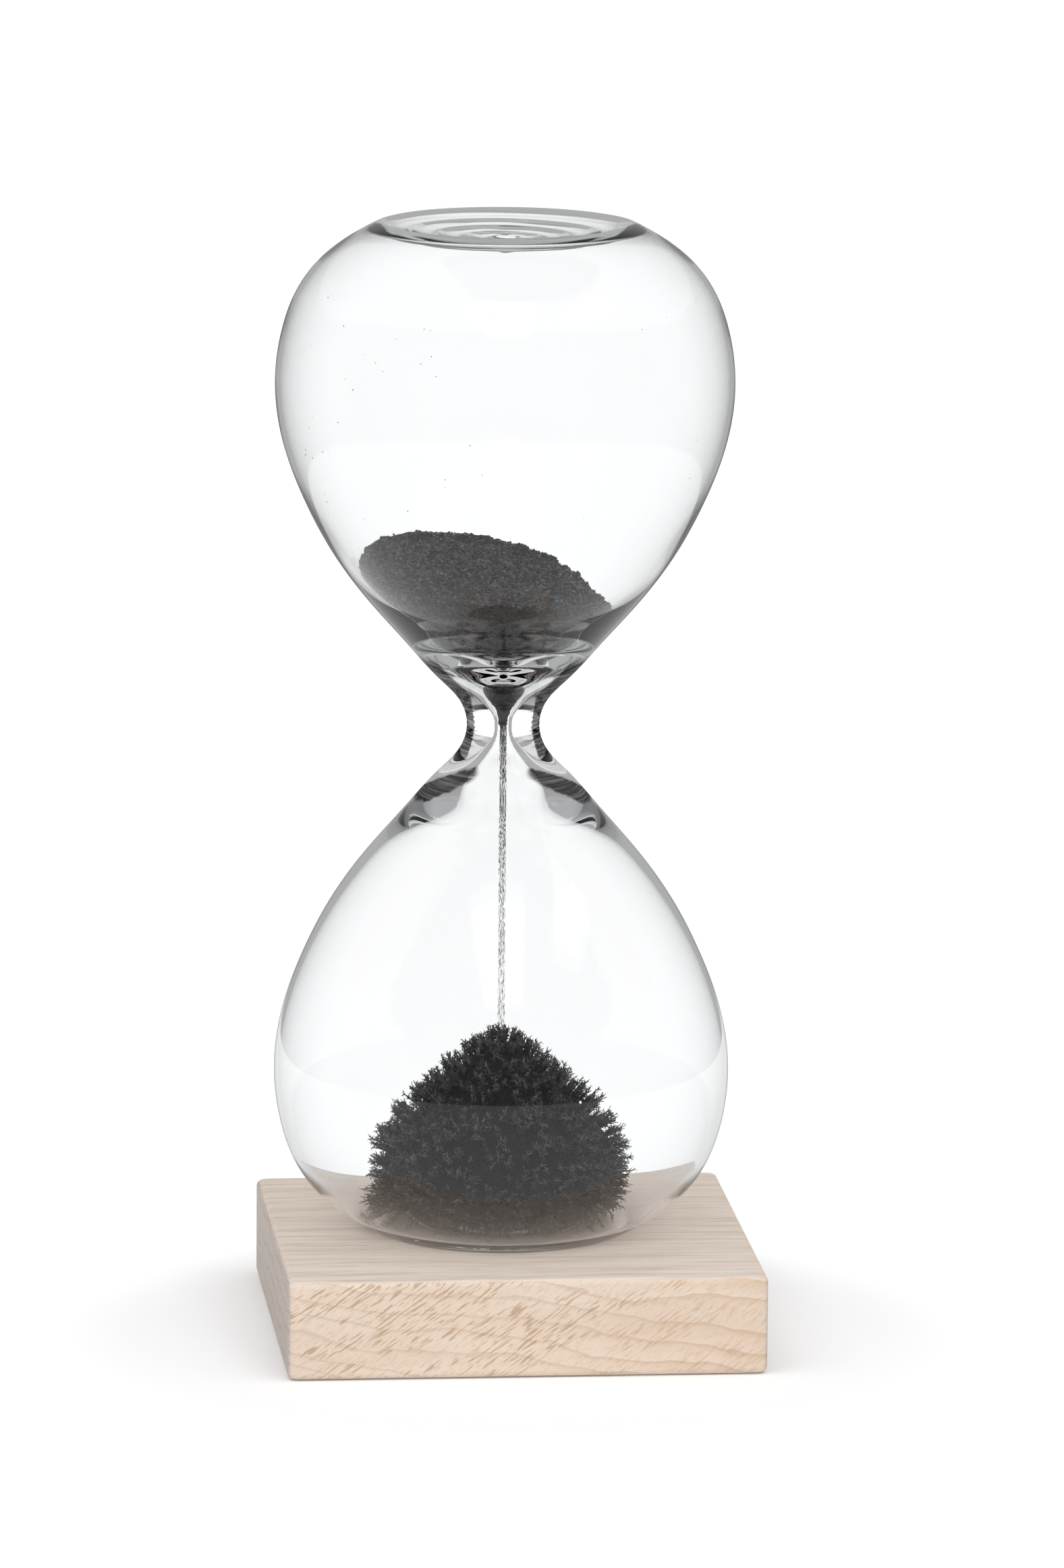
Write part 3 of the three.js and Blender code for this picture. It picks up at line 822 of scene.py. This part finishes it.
def build_specks():
    count = SPECKS
    level = rng.uniform(24, 60, count)
    angle = rng.uniform(0, 2 * np.pi, count)
    left = rng.uniform(0, 1, count) < 0.55
    angle[left] = rng.normal(math.radians(215), 0.45, left.sum())
    radius = inner_radius(level) - 0.12
    centres = np.stack([radius * np.cos(angle), radius * np.sin(angle), level * UPPER_STRETCH], -1)
    points, faces = grains(centres, rng.uniform(0.03, 0.1, count))
    add_piece("stray_specks", at_neck(points), faces, iron_powder, "glass", None, False)


build_specks()


# ---------- beech block with its pocket ----------
BLOCK_ROUNDING = 0.9
POCKET_GAP = 0.3
POCKET_BEVEL = 0.25


def rounded_square(half, corner, angle):
    """Radius of a square with rounded corners at each angle."""
    folded = np.abs((angle + np.pi / 4) % (np.pi / 2) - np.pi / 4)
    flat = half / np.cos(folded)
    centre = half - corner
    distance = centre * math.sqrt(2)
    off = np.pi / 4 - folded
    arc = distance * np.cos(off) + np.sqrt(np.maximum(corner ** 2 - (distance * np.sin(off)) ** 2, 0))
    return np.where(np.tan(folded) * half > centre, arc, flat)


def build_block():
    middle = (block_low + block_high) / 2
    half = (block_high.x - block_low.x) / 2 / MM
    height = (block_high.z - block_low.z) / MM
    pocket_radius = (magnet_high.x - magnet_low.x) / 2 / MM + POCKET_GAP
    pocket_top = (magnet_high.z - block_low.z) / MM + POCKET_GAP
    side_end = math.atan((half - BLOCK_ROUNDING) / half)
    straight = np.linspace(-side_end, side_end, 25)
    corner = np.linspace(straight[-1], np.pi / 2 - straight[-1], 9)[1:-1]
    angle = np.concatenate([np.concatenate([straight, corner]) + k * np.pi / 2 for k in range(4)])
    rows = [
        ("round", pocket_radius, pocket_top), ("round", pocket_radius, POCKET_BEVEL),
        ("round", pocket_radius + POCKET_BEVEL, 0.0),
    ]
    bend = np.linspace(0, np.pi / 2, 6)
    drawn_in = BLOCK_ROUNDING * (1 - np.sin(bend))
    rows += [("square", inset, rise) for inset, rise in zip(drawn_in, drawn_in[::-1])]
    rows += [("square", inset, height - drop) for inset, drop in zip(drawn_in[::-1], drawn_in)]
    rings = []
    for kind, size, z in rows:
        if kind == "round":
            radius = np.full(len(angle), size)
        else:
            radius = rounded_square(half - size, BLOCK_ROUNDING * 1.15, angle)
        rings.append(np.stack([radius * np.cos(angle), radius * np.sin(angle), np.full(len(angle), z)], -1))
    grid = np.stack(rings, 1)
    points = np.concatenate([[[0, 0, pocket_top], [0, 0, height]], grid.reshape(-1, 3)])
    place = np.array([middle.x, middle.y, block_low.z])
    faces = wrap_faces(len(angle), len(rows))
    block = add_piece("beech_block", points * MM + place, faces, beech, "base", "base_block")
    block.data.set_sharp_from_angle(angle=math.radians(40))
    even = block.modifiers.new("even_shading", "WEIGHTED_NORMAL")
    even.keep_sharp = True


def build_disc(name, node_name, low, high, material, rounding):
    """Disc with rounded edges in place of a CAD disc."""
    radius = (high.x - low.x) / 2 / MM
    height = (high.z - low.z) / MM
    bend = np.linspace(0, np.pi / 2, 5)
    under = [[radius - rounding * (1 - math.sin(b)), rounding * (1 - math.cos(b))] for b in bend]
    above = [[radius - rounding * (1 - math.cos(b)), height - rounding * (1 - math.sin(b))] for b in bend]
    profile = np.array([[0, 0], [radius * 0.5, 0]] + under + above + [[radius * 0.5, height], [0, height]])
    points, faces = revolved(profile, 96)
    place = np.array([(low.x + high.x) / 2, (low.y + high.y) / 2, low.z])
    made = add_piece(name, points * MM + place, faces, material, "base", node_name)
    even = made.modifiers.new("even_shading", "WEIGHTED_NORMAL")
    even.keep_sharp = False


build_block()
build_disc("magnet_disc", "magnet", magnet_low, magnet_high, plating, 0.4)
build_disc("beech_plug", "magnet_cover", cover_low, cover_high, beech_plug, 0.35)


# ---------- studio ----------
def build_floor():
    """A white table. Mirrored rays see a round one in a dimmer room, darkest in front of the object."""
    material = bpy.data.materials.new("floor_paper")
    material.use_nodes = True
    tree = material.node_tree
    tree.nodes.clear()
    output = node(tree, "OutputMaterial")
    place = node(tree, "SeparateXYZ", {0: node(tree, "TexCoord").outputs["Object"]})
    x, y, _ = place.outputs
    shifted = math_node(tree, "ADD", y, 0.012)
    distance = math_node(tree, "SQRT", math_node(tree, "ADD", math_node(tree, "MULTIPLY", x, x),
                                                 math_node(tree, "MULTIPLY", shifted, shifted)))

    def mixed(factor, first, second):
        made = node(tree, "MixShader", {0: factor})
        tree.links.new(first.outputs[0], made.inputs[1])
        tree.links.new(second.outputs[0], made.inputs[2])
        return made

    matt = node(tree, "BsdfDiffuse", {"Color": (0.9, 0.9, 0.905, 1)})
    lift = node(tree, "Emission", {"Color": (1, 1, 1, 1), "Strength": 0.05})
    near = node(tree, "AddShader")
    tree.links.new(matt.outputs[0], near.inputs[0])
    tree.links.new(lift.outputs[0], near.inputs[1])
    far = node(tree, "Emission", {"Color": (1, 1, 1, 1), "Strength": 1.12})
    paper = mixed(stepped(tree, distance, 0.046, 0.082), near, far)
    path = node(tree, "LightPath")
    mirrored = math_node(tree, "GREATER_THAN", path.outputs["Glossy Depth"], 0.5)
    room = stepped(tree, y, -0.15, 0.15, 0.18, 0.42)
    on_table = stepped(tree, distance, 0.32, 0.3)
    table = node(tree, "Emission", {
        "Color": (1, 1, 1, 1),
        "Strength": math_node(tree, "ADD", room, math_node(tree, "MULTIPLY", on_table, 0.38)),
    })
    tree.links.new(mixed(mirrored, paper, table).outputs[0], output.inputs["Surface"])
    mesh = bpy.data.meshes.new("floor")
    radius = 6
    segments = 96
    turns = [2 * math.pi * k / segments for k in range(segments)]
    rim = [(radius * math.cos(turn), radius * math.sin(turn), block_low.z - 0.0001) for turn in turns]
    mesh.from_pydata(rim, [], [list(range(segments))])
    mesh.materials.append(material)
    floor = bpy.data.objects.new("floor", mesh)
    scene.collection.objects.link(floor)


def build_world():
    """A white room for plain views. Reflections see a dimmer one, with two white panels overhead in front."""
    world = bpy.data.worlds.new("studio")
    scene.world = world
    world.use_nodes = True
    world.cycles.sampling_method = "NONE"
    tree = world.node_tree
    tree.nodes.clear()
    output = node(tree, "OutputWorld")
    way = node(tree, "SeparateXYZ", {0: node(tree, "TexCoord").outputs["Generated"]})
    x, y, z = way.outputs
    height = math_node(tree, "MAXIMUM", z, 0.05)
    across = math_node(tree, "DIVIDE", x, height)
    ahead = math_node(tree, "DIVIDE", y, height)

    def between(value, low, high):
        """1 between low and high, with soft ends."""
        return math_node(tree, "MULTIPLY", stepped(tree, value, low, low + 0.06),
                         stepped(tree, value, high, high - 0.06))

    box = math_node(tree, "MULTIPLY", between(across, 0.5, 1.0), between(ahead, -0.85, -0.15))
    skylight = math_node(tree, "MULTIPLY", between(across, -0.42, 0.22), between(ahead, -1.5, -0.4))
    overhead = stepped(tree, z, 0.35, 0.45)
    panels = math_node(tree, "MULTIPLY", math_node(tree, "MAXIMUM", box, skylight), overhead)
    around = stepped(tree, y, -0.3, 0.3, 0.18, 0.42)
    dim = math_node(tree, "MULTIPLY", around, stepped(tree, z, 0.3, 0.5, 1.0, 0.85))
    mirrored = math_node(tree, "ADD", dim, math_node(tree, "MULTIPLY", panels, 0.75))
    fill = stepped(tree, z, -0.2, 1.0, 0.3, 0.5)
    path = node(tree, "LightPath")

    def chosen(switch, yes, no):
        made = node(tree, "Mix", data_type="FLOAT")
        link_or_set(tree, made.inputs[0], switch)
        link_or_set(tree, made.inputs[2], no)
        link_or_set(tree, made.inputs[3], yes)
        return made.outputs[0]

    refracted = math_node(tree, "GREATER_THAN", path.outputs["Transmission Depth"], 0.5)
    seen = chosen(refracted, 1.12, 1.02)
    seen = chosen(math_node(tree, "GREATER_THAN", path.outputs["Glossy Depth"], 0.5), mirrored, seen)
    seen = chosen(math_node(tree, "GREATER_THAN", path.outputs["Diffuse Depth"], 0.5), fill, seen)
    background = node(tree, "Background", {"Color": (1, 1, 1, 1), "Strength": seen})
    tree.links.new(background.outputs[0], output.inputs["Surface"])


def add_lamp(name, azimuth, elevation, distance, size, power):
    """A soft square lamp that looks at the object. Azimuth 0 is in front of it and 90 on its right."""
    data = bpy.data.lights.new(name, "AREA")
    data.shape = "SQUARE"
    data.size = size
    data.energy = power
    lamp = bpy.data.objects.new(name, data)
    a, e = math.radians(azimuth), math.radians(elevation)
    back = Vector((math.sin(a) * math.cos(e), -math.cos(a) * math.cos(e), math.sin(e)))
    lamp.location = NECK * 0.5 + back * distance
    lamp.rotation_mode = "QUATERNION"
    lamp.rotation_quaternion = (-back).to_track_quat("-Z", "Y")
    for ray in ("visible_camera", "visible_glossy", "visible_transmission"):
        setattr(lamp, ray, False)
    scene.collection.objects.link(lamp)


def build_camera():
    """A long lens, a little left of the front and above it."""
    azimuth, elevation, roll = math.radians(-5.391), math.radians(10.517), math.radians(0.405)
    data = bpy.data.cameras.new("camera")
    data.sensor_fit = "AUTO"
    data.sensor_width = 36
    data.lens = 237.3
    data.clip_start = 0.05
    data.clip_end = 50
    camera = bpy.data.objects.new("camera", data)
    level = math.cos(elevation)
    back = Vector((math.sin(azimuth) * level, -math.cos(azimuth) * level, math.sin(elevation)))
    right = (-back).cross(Vector((0, 0, 1))).normalized()
    up = right.cross(-back)
    turned_right = math.cos(roll) * right + math.sin(roll) * up
    turned_up = -math.sin(roll) * right + math.cos(roll) * up
    aim = Vector((0, 0, 0.0731)) + right * 0.002868
    turn = Matrix((turned_right, turned_up, back)).transposed().to_4x4()
    camera.matrix_world = Matrix.Translation(aim + back * 1.36846) @ turn
    scene.collection.objects.link(camera)
    scene.camera = camera


build_floor()
build_world()
add_lamp("left_lamp", -62, 55, 1.3, 0.9, 3.7)
add_lamp("right_lamp", 60, 55, 1.3, 0.9, 2.9)
add_lamp("front_lamp", 6, 26, 1.3, 0.8, 4.3)
add_lamp("top_lamp", 0, 80, 1.3, 1.1, 4.6)
build_camera()
scene.view_settings.view_transform = "Standard"
scene.cycles.max_bounces = 24
scene.cycles.transmission_bounces = 24
scene.cycles.glossy_bounces = 10
scene.cycles.transparent_max_bounces = 24
